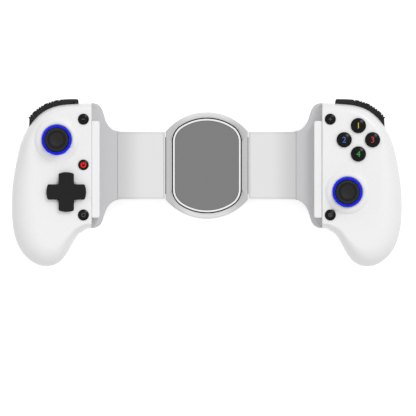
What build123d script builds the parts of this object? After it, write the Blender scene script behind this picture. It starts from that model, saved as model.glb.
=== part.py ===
from build123d import *
import os
from math import atan2, cos, hypot, pi, radians, sin, sqrt, tan

os.makedirs("parts", exist_ok=True)

# Phone game controller: two grips on arms that slide out of a round middle housing.
# Millimetres. The origin is the middle of the phone pad's top face, +X runs to the right grip,
# +Y to the triggers and +Z out of the front.

# Driving dimensions of the grips
grip_inner = 76.8  # straight inner side of a grip, from the middle
grip_outer = 130.1  # outermost point of a grip
grip_rise = 41.7  # top edge of a grip above the middle
grip_width = grip_outer - grip_inner
grip_drop = 67.3  # tip of a handle below the middle
face_z = 9.5  # flat front face
split_z = -4.5  # joint between the front and back shells
rest_z = -23.5  # flats on the back that the controller lies on
wall = 2.0
front_round_share = 0.303  # widest rounding of the front edge, as a share of the grip's width
back_round_share = 0.319
front_round = front_round_share * grip_width
back_round = back_round_share * grip_width
round_steps = 5

# Driving dimensions of the arms and the middle housing
bed_z = -1.5  # front of the arms, under the phone
arm_back_z = -11.5
arm_half = 22.5
arm_end = 27.7  # end of an arm when the grips are pushed together
seam_x = 59.4  # seam between the wing of the front shell and the arm cover
hub_radius = 35.5
hub_half = 27.3  # the round housing is cut off straight where the arms start
hub_front_z = -0.5
hub_back_z = -12.5
hub_split_z = -6.5
travel = 32.0  # pull of each grip

# Clearances
gap = 0.15  # sliding fit
play = 0.05  # radial running fit of pins
slit = 0.3  # between parts that only must not touch
button_gap = 0.25  # round a button in its hole
overrun = 6.0  # how far a cutting tool passes a face

# Places shared by both grips, measured outwards and upwards from the middle
upper_share = 0.4345  # of the grip's width
cluster_share = 0.452
lower_share = 0.316
upper_spot = (grip_inner + upper_share * grip_width, 17.1)
cluster_spot = (grip_inner + cluster_share * grip_width, 17.1)
lower_spot = (grip_inner + lower_share * grip_width, -17.7)
small_inset = 5.4  # middles of the small buttons from the inner side
small_x = grip_inner + small_inset
small_top_y = 30.8
small_middle_y = 0.4
small_bottom_y = -33.0
stick_spot = {-1: upper_spot, 1: lower_spot}
side_name = {-1: "left", 1: "right"}

# The grip's outline as shares of its width and of its rise or drop, and how much of the front
# and back rounding each place takes, from the upper inner corner round to the lower one
outline_shares = (
    (0.000, 1.000, 0.22, 0.45),
    (0.248, 0.985, 0.30, 0.50),
    (0.454, 0.950, 0.38, 0.55),
    (0.628, 0.844, 0.42, 0.55),
    (0.777, 0.638, 0.42, 0.60),
    (0.874, 0.396, 0.48, 0.70),
    (0.947, 0.024, 0.75, 0.80),
    (0.993, -0.238, 0.90, 0.85),
    (1.000, -0.446, 1.00, 0.90),
    (0.974, -0.661, 1.00, 0.95),
    (0.886, -0.841, 1.00, 1.00),
    (0.745, -0.954, 0.95, 1.00),
    (0.557, -1.000, 0.90, 0.95),
    (0.394, -0.952, 0.75, 0.80),
    (0.289, -0.840, 0.52, 0.60),
    (0.210, -0.725, 0.34, 0.50),
    (0.154, -0.669, 0.30, 0.48),
    (0.098, -0.641, 0.26, 0.45),
    (0.000, -0.620, 0.22, 0.45),
)
front_column = 2
back_column = 3


def outline_normals(points):
    """Outward directions of the outline; its two ends point straight up and down."""
    normals = [(0, 1)]
    for before, after in zip(points, points[2:]):
        run, rise = after[0] - before[0], after[1] - before[1]
        length = hypot(run, rise)
        normals.append((-rise / length, run / length))
    return normals + [(0, -1)]


def outline_points(inner, inset, column, shift):
    """Points of the outline in the grip's own outward frame, moved inwards."""
    width = grip_outer - inner
    base = [
        (inner + along * width, (grip_rise if up > 0 else grip_drop) * up)
        for along, up, front_share, back_share in outline_shares
    ]
    moved = []
    for place, normal, shares in zip(base, outline_normals(base), outline_shares):
        depth = shares[column] * inset + shift
        moved.append((place[0] - normal[0] * depth, place[1] - normal[1] * depth))
    return moved


def outline_face(side, z, inner, inset, column, shift):
    """One level of a grip, closed by its straight inner side."""
    points = [(side * x, y) for x, y in outline_points(inner, inset, column, shift)]
    with BuildSketch(Plane.XY.offset(z)) as level:
        with BuildLine():
            Spline(*points, tangents=((side, 0), (-side, 0)))
            Line(points[-1], points[0])
        make_face()
    return level.sketch


def grip_half(side, end_z, round_size, column, inset_wall):
    """Solid half of a grip from the split to the face or to the back, rounded off."""
    levels = []
    if inset_wall > 0:
        levels.append((split_z - (wall if end_z > split_z else -wall), 0.0))
    for step in range(round_steps + 1):
        angle = radians(90 * step / round_steps)
        z = split_z + (end_z - split_z) * sin(angle)
        levels.append((z, round_size * (1 - cos(angle))))
    faces = [
        outline_face(side, z, grip_inner + inset_wall, inset, column, inset_wall)
        for z, inset in levels
    ]
    with BuildPart() as half:
        loft(sections=faces)
    return half.part


# The back of a grip rises from the arm's back plane to the rest flat in one S-shaped sweep
sweep_share = 0.604
sweep_end = grip_inner + sweep_share * grip_width


def sweep_cut(side, lift):
    """Everything behind the S-shaped back surface, raised by a wall for the hollow."""
    floor_z = rest_z - overrun
    start = (side * grip_inner, arm_back_z + lift)
    end = (side * sweep_end, rest_z + lift)
    with BuildPart() as cut:
        with BuildSketch(Plane.XZ):
            with BuildLine():
                Spline(start, end, tangents=((side, 0), (side, 0)))
                Polyline(end, (end[0], floor_z), (0, floor_z), (0, start[1]), start)
            make_face()
        extrude(amount=2 * grip_drop, both=True)
    return cut.part


# Wing: the sunken plate between a grip and its arm, narrowing in an S on both edges
wing_shares = (
    (0.872, 0.979), (0.78, 0.925), (0.688, 0.789), (0.596, 0.466), (0.505, 0.25), (0.413, 0.13),
    (0.321, 0.06), (0.12, 0.004),
)
wing_foot = 55.0  # where the S runs out on the arm
wing_edge = 0.9  # rounding of the wing's front edges
inner_edge = 0.8  # rounding of the straight inner edge of a grip's face


def wing_block(side, start, end, low_z, high_z, edge):
    """Plate with the outline of arm and wing between two places, its long front edges rounded."""
    reach = grip_inner - wing_foot
    drop = grip_rise - arm_half
    curve = [(wing_foot + along * reach, arm_half + up * drop) for along, up in wing_shares]
    curve = [(grip_inner, grip_rise)] + curve + [(wing_foot, arm_half)]
    upper = [(side * x, y) for x, y in curve]
    lower = [(x, -y) for x, y in reversed(upper)]
    ends = ((side * arm_end, arm_half), (side * arm_end, -arm_half))
    window = box_between(side, (start, -grip_rise, low_z), (end, grip_rise, high_z))
    with BuildPart() as block:
        with BuildSketch(Plane.XY.offset(low_z)):
            with BuildLine():
                Spline(*upper, tangents=((-side, 0), (-side, 0)))
                Polyline(upper[-1], ends[0], ends[1], lower[0])
                Spline(*lower, tangents=((side, 0), (side, 0)))
                Line(lower[-1], upper[0])
            make_face()
        extrude(amount=high_z - low_z)
        add(window, mode=Mode.INTERSECT)
        if edge > 0:
            front = block.edges().group_by(Axis.Z)[-1]
            fillet([rim for rim in front if rim.bounding_box().size.X > edge], edge)
    return block.part


def box_between(side, low, high):
    """Box from one corner to the other, its X given outwards from the middle."""
    size = [high[i] - low[i] for i in range(3)]
    middle = (side * (low[0] + high[0]) / 2, (low[1] + high[1]) / 2, (low[2] + high[2]) / 2)
    with BuildPart() as block:
        with Locations(middle):
            Box(*size)
    return block.part


def post(side, spot, radius, low_z, high_z):
    """Upright cylinder at a spot given outwards from the middle."""
    with BuildPart() as pillar:
        with Locations((side * spot[0], spot[1], low_z)):
            Cylinder(radius, high_z - low_z, align=(Align.CENTER, Align.CENTER, Align.MIN))
    return pillar.part


# Telescopic arms: a flat tube fixed in the middle housing runs inside each arm
rail_half = 18.9
rail_low_z = arm_back_z + wall + gap
rail_high_z = bed_z - wall - gap
rail_wall = 1.2
rail_end = 70.0
rail_start = 9.0
arm_room_half = rail_half + gap
arm_room_end = rail_end + 3 * wall / 2

# Pinion and racks that keep the grips in step
module_size = 1.0
pinion_teeth = 12
pinion_radius = module_size * pinion_teeth / 2
rack_tip = 0.65 * module_size
gear_tip = 0.8 * module_size
tooth_root = 1.1 * module_size
pressure_angle = radians(20)
backlash = 0.25
gear_low_z = rail_low_z + rail_wall + 2 * gap
gear_high_z = rail_high_z - rail_wall - 2 * gap
gear_thick = gear_high_z - gear_low_z
rack_back = 3.4
rack_reach = travel + 5.0
rack_foot = 3.0  # held in a slot beyond the arm's room
pinion_pin_radius = 1.25
tooth_steps = 4

# Bumper and trigger bands on the upper outer edge of each grip
band_shares = (0.78, 0.845, 0.96, 1.0, 0.99, 0.98, 0.98)  # how far it stands out at each point
band_last = len(band_shares)  # it follows this many points of the outline
band_start_share = 0.154
band_end_share = 0.792
band_start = grip_inner + band_start_share * grip_width
band_end = grip_inner + band_end_share * grip_width
band_proud = 3.85
bumper_depth = 4.0
bumper_low_z = -7.0
bumper_high_z = -0.7
trigger_inset = 3.4  # the trigger is shorter than the bumper at both ends
trigger_depth = 6.4
trigger_high_z = bumper_low_z - slit
trigger_low_z = rest_z + 2 * slit
trigger_skin = 1.0  # how far the trigger stands out of the back
trigger_rim = 0.6
trigger_pin_shares = (0.276, 0.7487)  # of the grip's width and rise
trigger_pin_spot = (
    grip_inner + trigger_pin_shares[0] * grip_width, trigger_pin_shares[1] * grip_rise
)
bumper_pin_inset = (1.6, 3.1)  # from the inner end of the bumper and from the top edge
bumper_pin_spot = (band_start + bumper_pin_inset[0], grip_rise - bumper_pin_inset[1])
trigger_pin_radius = 0.75
lug_radius = 2.2
bumper_boss_radius = 1.5
bumper_boss_high_z = 6.0
bumper_pin_low_z = -10.5
bumper_pin_high_z = 4.6
trigger_pin_low_z = -15.2
trigger_pin_high_z = -8.0
bumper_turn = 2.2  # degrees that a bumper is pressed
trigger_turn = 3.5
turn_steps = 3
lug_low_z = -12.9
lug_high_z = -10.4


def band_face(side, z, proud, depth):
    """Strip along the outline, standing out by one amount and reaching in by the other."""
    flush = outline_points(grip_inner, 0.0, front_column, 0.0)
    full = outline_points(grip_inner, 0.0, front_column, -proud)
    inner = outline_points(grip_inner, 0.0, front_column, depth)[:band_last]
    outer = [
        (side * (near[0] + (far[0] - near[0]) * share), near[1] + (far[1] - near[1]) * share)
        for near, far, share in zip(flush, full, band_shares)
    ]
    inner = [(side * x, y) for x, y in reversed(inner)]
    with BuildSketch(Plane.XY.offset(z)) as strip:
        with BuildLine():
            Spline(*outer)
            Line(outer[-1], inner[0])
            Spline(*inner)
            Line(inner[-1], outer[0])
        make_face()
    return strip.sketch


def band_block(side, low_z, high_z, proud, depth, start, end):
    """Straight block of the band between two places along the grip."""
    window = box_between(side, (start, 0, low_z), (end, 2 * grip_rise, high_z))
    with BuildPart() as block:
        add(band_face(side, low_z, proud, depth))
        extrude(amount=high_z - low_z)
        add(window, mode=Mode.INTERSECT)
    return block.part


# Sticks
pivot_z = -3.0
board_low_z = -9.5
board_high_z = -7.9
ring_outer = 10.05
ring_inner = 8.4
ring_low_z = face_z + 0.1
ring_high_z = face_z + 2.1
collar_high_z = face_z + 2.3
collar_foot = 14.9
collar_top = 11.1
collar_lean = 1.5  # steepness of the collar at its foot
well_radius = 9.4

# Screws
low_screw_inset = 2.1
low_screw_x = grip_inner - low_screw_inset
shell_screw_low = ((low_screw_x, 29.4), (low_screw_x, -30.1))
screw_shares = ((0.808, 0.137), (0.638, -0.842))  # of the grip's width, and of its rise or drop
shell_screw_deep = (
    (grip_inner + screw_shares[0][0] * grip_width, screw_shares[0][1] * grip_rise),
    (grip_inner + screw_shares[1][0] * grip_width, screw_shares[1][1] * grip_drop),
)
screw_radius = 0.8
screw_head_radius = 1.6
screw_head_thick = 1.2
low_head_z = arm_back_z + 2.0
deep_head_z = rest_z + 6.5
boss_radius = 3.0
low_screw_top_z = bed_z - 0.8
deep_screw_top_z = split_z + 7.0

# Buttons
face_offset = 9.45
face_radius = 4.85
face_flange = 5.6
face_top_z = face_z + 2.6
face_travel = 1.2
small_radius = 3.55
middle_radius = 3.4
small_flange = 3.9
small_top_z = face_z + 1.5
small_travel = 0.5
dpad_span = 25.7
dpad_arm = 9.4
dpad_gap = 0.4
dpad_corner = 1.1
dpad_top_z = face_z + 3.0
dish_radius = 17.0
dish_depth = 0.8
face_places = {"top": (0, 1), "bottom": (0, -1), "inner": (-1, 0), "outer": (1, 0)}

# Charging port in the lower edge of the right grip
port_offset = 2.2  # outwards of the lower small button
port_x = small_x + port_offset
port_width = 8.9
port_height = 3.2
port_depth = 5.6
port_skin = 0.4
port_tongue = 0.7
port_front_y = -41.9
reset_inset = (4.2, 9.3)  # from the inner side and from the top edge
reset_spot = (grip_inner + reset_inset[0], grip_rise - reset_inset[1])
reset_radius = 0.6

# Back keys, on the slope between arm and handle
key_share = 0.342
key_spot = (grip_inner + key_share * grip_width, -17.1)
key_surface_z = -18.3
key_slope = 27.0
key_width = 19.6
key_height = 19.6
key_taper = 3.3  # the outer side leans in by this towards the top
key_corner = 2.4
key_proud = 0.9
key_frame = 2.4  # depth of the thicker floor round a key
key_margin = 2.5
key_flange = 1.0
key_flange_thick = 0.8

key_edge = 0.8

# Arm covers and the bars that grip the phone
arm_lip = 0.9
cover_chamfer = 0.12
clamp_thick = 5.4
clamp_inner = grip_inner - clamp_thick
clamp_low_y = -34.9
clamp_high_y = 29.7
clamp_top_z = face_z - 1.5
clamp_corner = 1.6
clamp_edge = 0.8

# Board and stick modules
board_inset = 10.5
board_margin = 2.6
board_inner = grip_inner + board_margin
board_low_y = -45.0
board_ear = 4.6
board_tab_y = -38.6
housing_half = 8.5
housing_wall = 1.3
housing_rise = 2.3
yoke_pin = 1.25
yoke_half_x = 6.6
yoke_half_y = 4.6
yoke_half_z = 1.5
yoke_side = 1.4
yoke_room_x = 3.8
hub_ball = 2.5
stem_pin = 0.9
post_radius = 1.9
post_top_z = 15.0
dome_radius = 10.3
dome_wall = 0.8
dome_angle = 40  # degrees from the post to the dome's rim
neck_radius = 3.2
neck_low_z = 8.1
cap_low_z = 15.5
cap_top_z = 19.0
cap_radius = 7.85
cap_dish = 5.65
cap_hollow = 1.4
cap_edge = 0.9
screw_slot = 0.5

# Insides of the buttons
button_flange = 1.0
face_dome = 1.5
face_plunger = 2.5
face_foot_z = -1.8
small_dome = 0.9
small_plunger = 2.0
small_foot_z = -2.5
membrane_thick = 1.0
membrane_dome = 3.0
membrane_strip = 2.6
dpad_pivot_z = 4.0
dpad_plate_z = 4.5
dpad_plate = 1.3
dpad_flange = 14.3
dpad_foot_z = -1.8
dpad_dome_offset = 9.0
dpad_round = 0.8
dpad_hollow = 0.45  # the top dips by this from the ends to the middle
ball_radius = 2.0
pillar_radius = 1.8
spring_outer = 1.6

# Middle housing
hub_edge = 1.0
hub_screw_spots = ((23.1, 21.2), (23.1, -21.2), (-23.1, 21.2), (-23.1, -21.2))
hub_screw_top_z = -2.4
pinion_pin_top_z = -2.8
pad_half = 23.3
pad_radius = 31.9
pad_corner = 13.0
pad_groove = 0.6
pad_floor_z = -1.9
pad_ring_width = 1.3
pad_ring_z = 0.3
pad_ring_edge = 0.4
spring_y = 14.5
return_spring_radius = 1.5

# Battery, lying in the hollow of the right handle
battery_shares = (0.552, 0.709)
battery_low_x, battery_high_x = [grip_inner + share * grip_width for share in battery_shares]
battery_low_y = -42.0
battery_high_y = -4.0
battery_low_z = rest_z + wall + 2 * slit
battery_high_z = battery_low_z + 8.0


def screw_tools(side, spots, head_z, tip_z):
    """Cutting tools for screw holes and the recesses of their heads, from the back."""
    with BuildPart() as tools:
        for spot in spots:
            add(post(side, spot, screw_head_radius + gap, rest_z - overrun, head_z))
            add(post(side, spot, screw_radius + play, head_z, tip_z + slit))
    return tools.part


def collar(side):
    """Raised, rounded collar of a stick."""
    spot = stick_spot[side]
    base = face_z - wall
    with BuildPart() as cone:
        with BuildSketch(Plane((side * spot[0], spot[1], 0), x_dir=(1, 0, 0), z_dir=(0, -1, 0))):
            with BuildLine():
                Polyline((0, base), (collar_foot, base), (collar_foot, face_z))
                Spline(
                    (collar_foot, face_z),
                    (collar_top, collar_high_z),
                    tangents=((-1, collar_lean), (-1, 0)),
                )
                Polyline((collar_top, collar_high_z), (0, collar_high_z), (0, base))
            make_face()
        revolve(axis=Axis((side * spot[0], spot[1], 0), (0, 0, 1)))
    return cone.part


def inner_rounding(side):
    """Waste outside the rounded inner edge of a grip's face."""
    low = (grip_inner - inner_edge, -grip_rise, face_z - inner_edge)
    high = (grip_inner + inner_edge, grip_rise, face_z + inner_edge)
    core = Location((side * (grip_inner + inner_edge), 0, face_z - inner_edge), (90, 0, 0))
    with BuildPart() as waste:
        add(box_between(side, low, high))
        with Locations(core):
            Cylinder(inner_edge, 2 * grip_rise, mode=Mode.SUBTRACT)
    return waste.part


def cross_plate(side, spot, span, arm, low_z, high_z):
    """Plus-shaped plate whose ends follow one circle."""
    with BuildPart() as plate:
        with BuildSketch(Plane.XY.offset(low_z)) as shape:
            with Locations((side * spot[0], spot[1])):
                Rectangle(span, arm)
                Rectangle(arm, span)
                Circle(span / 2, mode=Mode.INTERSECT)
            ends = [
                corner_point
                for corner_point in shape.vertices()
                if hypot(corner_point.X - side * spot[0], corner_point.Y - spot[1]) > arm
            ]
            fillet(ends, dpad_corner)
        extrude(amount=high_z - low_z)
    return plate.part


def small_buttons(side):
    """Places and radii of the small round buttons of one grip."""
    places = {"upper": (small_top_y, small_radius), "lower": (small_bottom_y, small_radius)}
    if side < 0:
        places["middle"] = (small_middle_y, middle_radius)
    return places


def face_spots():
    """Places of the four face buttons, on the right grip."""
    return {
        name: (cluster_spot[0] + across * face_offset, cluster_spot[1] + up * face_offset)
        for name, (across, up) in face_places.items()
    }


def arm_room(side):
    """Hollow of an arm and wing that the flat tube slides in."""
    low = (arm_end - overrun, -arm_room_half, rail_low_z - gap)
    high = (arm_room_end, arm_room_half, rail_high_z + gap)
    return box_between(side, low, high)


def rack_slot(side):
    """Slot beyond the arm's room that holds the foot of the rack."""
    near = pinion_radius + tooth_root - gap
    far = pinion_radius + tooth_root + rack_back + gap
    low_y, high_y = (near, far) if side < 0 else (-far, -near)
    low = (arm_room_end - wall, low_y, gear_low_z - gap)
    high = (arm_room_end + rack_foot, high_y, gear_high_z + gap)
    return box_between(side, low, high)


def turned(side, tool, spot, angle):
    """A cutting tool in every place that it takes while a lever is pressed."""
    axis = Axis((side * spot[0], spot[1], 0), (0, 0, -side))
    with BuildPart() as sweep:
        for step in range(turn_steps + 1):
            add(tool.rotate(axis, angle * step / turn_steps))
    return sweep.part


def bumper_bay(side):
    """Room for the bumper, at rest and pressed."""
    bay = band_block(
        side, bumper_low_z - slit, bumper_high_z + slit, 2 * band_proud,
        bumper_depth + slit, band_start - slit, band_end + slit,
    )
    return turned(side, bay, bumper_pin_spot, bumper_turn)


def trigger_bay(side):
    """Room for the trigger, at rest and pressed, through the back."""
    bay = band_block(
        side, rest_z - wall, bumper_low_z, 2 * band_proud, trigger_depth + slit,
        band_start + trigger_inset - slit, band_end - trigger_inset + slit,
    )
    return turned(side, bay, trigger_pin_spot, trigger_turn)


def front_shell(side):
    """Front casing of a grip with its wing plate, collar and holes."""
    spot = stick_spot[side]
    sky = face_z + overrun
    with BuildPart() as shell:
        add(grip_half(side, face_z, front_round, front_column, 0.0))
        add(collar(side))
        add(inner_rounding(side), mode=Mode.SUBTRACT)
        add(grip_half(side, face_z - wall, front_round, front_column, wall), mode=Mode.SUBTRACT)
        add(wing_block(side, seam_x + gap, grip_inner, split_z, bed_z, wing_edge))
        add(post(side, spot, well_radius, split_z, ring_low_z), mode=Mode.SUBTRACT)
        add(post(side, spot, ring_outer + play, ring_low_z, sky), mode=Mode.SUBTRACT)
        add(arm_room(side), mode=Mode.SUBTRACT)
        add(bumper_bay(side), mode=Mode.SUBTRACT)
        add(post(side, bumper_pin_spot, bumper_boss_radius, bumper_high_z + slit, bumper_boss_high_z))
        for deep in shell_screw_deep:
            add(post(side, deep, boss_radius, split_z, deep_screw_top_z + wall))
        under_z = face_z - wall
        for y, radius in small_buttons(side).values():
            add(post(side, (small_x, y), radius + gap, split_z, sky), mode=Mode.SUBTRACT)
            room = post(side, (small_x, y), small_flange + button_gap, split_z, under_z)
            add(room, mode=Mode.SUBTRACT)
        if side > 0:
            for place in face_spots().values():
                add(post(side, place, face_radius + button_gap, split_z, sky), mode=Mode.SUBTRACT)
                room = post(side, place, face_flange + button_gap, split_z, under_z)
                add(room, mode=Mode.SUBTRACT)
        else:
            ball = (dish_radius * dish_radius / dish_depth + dish_depth) / 2
            with Locations((side * lower_spot[0], lower_spot[1], face_z - dish_depth + ball)):
                Sphere(ball, mode=Mode.SUBTRACT)
            hole_span = dpad_span + 2 * dpad_gap
            hole_arm = dpad_arm + 2 * dpad_gap
            hole = cross_plate(side, lower_spot, hole_span, hole_arm, split_z, sky)
            add(hole, mode=Mode.SUBTRACT)
        add(screw_tools(side, shell_screw_low, low_head_z, low_screw_top_z), mode=Mode.SUBTRACT)
        add(screw_tools(side, shell_screw_deep, deep_head_z, deep_screw_top_z), mode=Mode.SUBTRACT)
        pin_hole = trigger_pin_radius + play
        add(post(side, bumper_pin_spot, pin_hole, bumper_low_z, bumper_pin_high_z), mode=Mode.SUBTRACT)
    return shell.part


def key_plane(side, depth):
    """Plane of a back key, some way inwards of the sloping back."""
    slope = radians(key_slope)
    middle = (
        side * (key_spot[0] + depth * sin(slope)), key_spot[1], key_surface_z + depth * cos(slope)
    )
    return Plane(
        middle, x_dir=(side * cos(slope), 0, -sin(slope)), z_dir=(-side * sin(slope), 0, -cos(slope))
    )


def key_block(side, deep, shallow, grow):
    """Tapered block in the shape of a back key, between two depths inwards of the back."""
    half_width, half_height = key_width / 2 + grow, key_height / 2 + grow
    top = -side * half_height
    corners = [
        (-half_width, top), (half_width - key_taper, top), (half_width, -top), (-half_width, -top)
    ]
    with BuildPart() as block:
        with BuildSketch(key_plane(side, deep)):
            with BuildLine():
                Polyline(*corners, corners[0])
            shape = make_face()
            fillet(shape.vertices(), key_corner + grow)
        extrude(amount=deep - shallow)
    return block.part


def back_shell(side):
    """Back casing of a grip and its arm, with bosses and openings."""
    grip = grip_half(side, rest_z, back_round, back_column, 0.0) - sweep_cut(side, 0.0)
    room = grip_half(side, rest_z + wall, back_round, back_column, wall) - sweep_cut(side, wall)
    room -= key_block(side, key_frame, -key_frame, key_margin)
    with BuildPart() as bosses:
        for deep in shell_screw_deep:
            add(post(side, deep, boss_radius, rest_z, split_z))
        add(post(side, trigger_pin_spot, lug_radius, rest_z, lug_low_z - slit))
        add(post(side, bumper_pin_spot, bumper_boss_radius, lug_low_z, bumper_low_z - slit))
        add(grip, mode=Mode.INTERSECT)
    with BuildPart() as shell:
        add(grip)
        add(room, mode=Mode.SUBTRACT)
        add(wing_block(side, arm_end, seam_x, arm_back_z, bed_z, 0))
        add(wing_block(side, seam_x, grip_inner, arm_back_z, split_z, 0))
        add(bumper_bay(side), mode=Mode.SUBTRACT)
        add(trigger_bay(side), mode=Mode.SUBTRACT)
        add(bosses.part)
        add(arm_room(side), mode=Mode.SUBTRACT)
        seat_half = arm_half - arm_lip + play
        seat_low = (arm_end + arm_lip, -seat_half, bed_z - wall)
        seat = box_between(side, seat_low, (seam_x + overrun, seat_half, bed_z + overrun))
        add(seat, mode=Mode.SUBTRACT)
        add(rack_slot(side), mode=Mode.SUBTRACT)
        add(screw_tools(side, shell_screw_low, low_head_z, low_screw_top_z), mode=Mode.SUBTRACT)
        add(screw_tools(side, shell_screw_deep, deep_head_z, deep_screw_top_z), mode=Mode.SUBTRACT)
        pin_hole = trigger_pin_radius + play
        add(post(side, bumper_pin_spot, pin_hole, bumper_pin_low_z, split_z), mode=Mode.SUBTRACT)
        add(post(side, trigger_pin_spot, pin_hole, trigger_pin_low_z, split_z), mode=Mode.SUBTRACT)
        add(key_block(side, 2 * key_frame, -2 * key_frame, slit), mode=Mode.SUBTRACT)
        if side > 0:
            add(port_block(slit, port_front_y - overrun), mode=Mode.SUBTRACT)
        else:
            add(post(side, reset_spot, reset_radius, rest_z, split_z - wall), mode=Mode.SUBTRACT)
    return shell.part


def port_block(grow, front_y):
    """Outline of the charging port, for the port and for its opening."""
    width, height = port_width + 2 * grow, port_height + 2 * grow
    middle = (port_x, front_y, board_high_z + port_height / 2)
    port_plane = Plane(middle, x_dir=(1, 0, 0), z_dir=(0, 1, 0))
    with BuildPart() as block:
        with BuildSketch(port_plane):
            RectangleRounded(width, height, height / 2 - play)
        extrude(amount=port_front_y + port_depth - front_y)
    return block.part


def charging_port():
    """Port shell with its tongue."""
    front_y = port_front_y - overrun
    half = port_width / 2 - port_height / 2
    middle_z = board_high_z + port_height / 2
    low = (port_x - half, port_front_y + 2 * port_skin, middle_z - port_tongue / 2)
    high = (port_x + half, port_front_y + port_depth - port_skin, middle_z + port_tongue / 2)
    with BuildPart() as port:
        add(port_block(0.0, port_front_y))
        room = port_block(-port_skin, front_y).moved(Location((0, -port_skin, 0)))
        add(room, mode=Mode.SUBTRACT)
        add(box_between(1, low, high))
    return port.part


def save(piece, name):
    """Label a finished piece and write it out."""
    piece.label = name
    export_step(piece, f"parts/{name}.step")


def arm_cover(side):
    """Cover plate of an arm, let in between the lips of the back shell."""
    half = arm_half - arm_lip
    low = (arm_end + arm_lip + gap, -half, bed_z - wall)
    with BuildPart() as cover:
        add(box_between(side, low, (seam_x, half, bed_z)))
        chamfer(cover.edges().group_by(Axis.Z)[-1], cover_chamfer)
    return cover.part


def clamp_pad(side):
    """Bar that grips the edge of the phone."""
    low = (clamp_inner, clamp_low_y, bed_z)
    with BuildPart() as pad:
        add(box_between(side, low, (grip_inner, clamp_high_y, clamp_top_z)))
        upright = pad.edges().filter_by(Axis.Z)
        inner_edges = upright.sort_by(lambda edge: side * edge.center().X)[:2]
        fillet(inner_edges, clamp_corner)
        fillet(pad.edges().group_by(Axis.Z)[-1], clamp_edge)
    return pad.part


def screw(side, spot, head_z, tip_z):
    """Pan-head screw with a cross recess, driven from the back."""
    half = screw_head_radius - screw_radius / 2
    recess_top = head_z - screw_head_thick / 2
    with BuildPart() as body:
        add(post(side, spot, screw_head_radius, head_z - screw_head_thick, head_z))
        add(post(side, spot, screw_radius, head_z, tip_z))
        with Locations((side * spot[0], spot[1], recess_top - screw_head_thick)):
            for size in ((2 * half, screw_slot), (screw_slot, 2 * half)):
                Box(
                    *size, screw_head_thick,
                    align=(Align.CENTER, Align.CENTER, Align.MIN), mode=Mode.SUBTRACT,
                )
    return body.part


def shell_screws(side):
    """The four screws that hold a grip's shells together."""
    low = [screw(side, spot, low_head_z, low_screw_top_z) for spot in shell_screw_low]
    deep = [screw(side, spot, deep_head_z, deep_screw_top_z) for spot in shell_screw_deep]
    return Compound(children=low + deep)


def circuit_board(side):
    """Main board of a grip, with an ear for the upper small button."""
    edge = outline_points(grip_inner, 0.0, front_column, board_inset)
    points = [(side * x, y) for x, y in edge]
    ear = box_between(
        side, (board_inner, 0, board_low_z),
        (small_x + board_ear, small_top_y + small_flange, board_high_z),
    )
    tab = box_between(
        side, (board_inner, board_tab_y, board_low_z),
        (port_x + port_width / 2 + wall, small_bottom_y, board_high_z),
    )
    window_low = (board_inner, board_low_y, board_low_z)
    window = box_between(side, window_low, (grip_outer, grip_rise, board_high_z))
    with BuildPart() as board:
        with BuildSketch(Plane.XY.offset(board_low_z)):
            with BuildLine():
                Spline(*points)
                Line(points[-1], points[0])
            make_face()
        extrude(amount=board_high_z - board_low_z)
        add(window, mode=Mode.INTERSECT)
        add(ear)
        add(tab)
        notch = post(side, trigger_pin_spot, lug_radius + wall, board_low_z, board_high_z)
        add(notch, mode=Mode.SUBTRACT)
    return board.part


def stick_housing(side):
    """Open box of a stick module with bearing holes for the yoke."""
    spot = stick_spot[side]
    half = housing_half
    inner = half - housing_wall
    low_z = board_high_z + housing_wall
    with BuildPart() as housing:
        add(box_at(side, spot, half, half, board_high_z, pivot_z + housing_rise))
        add(box_at(side, spot, inner, inner, low_z, pivot_z + overrun), mode=Mode.SUBTRACT)
        with Locations(Location((side * spot[0], spot[1], pivot_z), (0, 90, 0))):
            Cylinder(yoke_pin + play, 2 * grip_inner / 3, mode=Mode.SUBTRACT)
    return housing.part


def box_at(side, spot, half_x, half_y, low_z, high_z):
    """Box round a spot."""
    low = (spot[0] - half_x, spot[1] - half_y, low_z)
    return box_between(side, low, (spot[0] + half_x, spot[1] + half_y, high_z))


def stick_yoke(side):
    """Cross frame that rocks up and down and carries the stem's trunnions."""
    spot = stick_spot[side]
    low, high = pivot_z - yoke_half_z, pivot_z + yoke_half_z
    reach = housing_half - gap
    with BuildPart() as yoke:
        add(box_at(side, spot, yoke_half_x, yoke_half_y, low, high))
        with Locations(Location((side * spot[0], spot[1], pivot_z), (0, 90, 0))):
            Cylinder(yoke_pin, 2 * reach)
        inner_y = yoke_half_y - yoke_side
        add(box_at(side, spot, yoke_room_x, inner_y, low - wall, high + wall), mode=Mode.SUBTRACT)
        with Locations(Location((side * spot[0], spot[1], pivot_z), (90, 0, 0))):
            Cylinder(stem_pin + play, 2 * yoke_half_y, mode=Mode.SUBTRACT)
    return yoke.part


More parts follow.
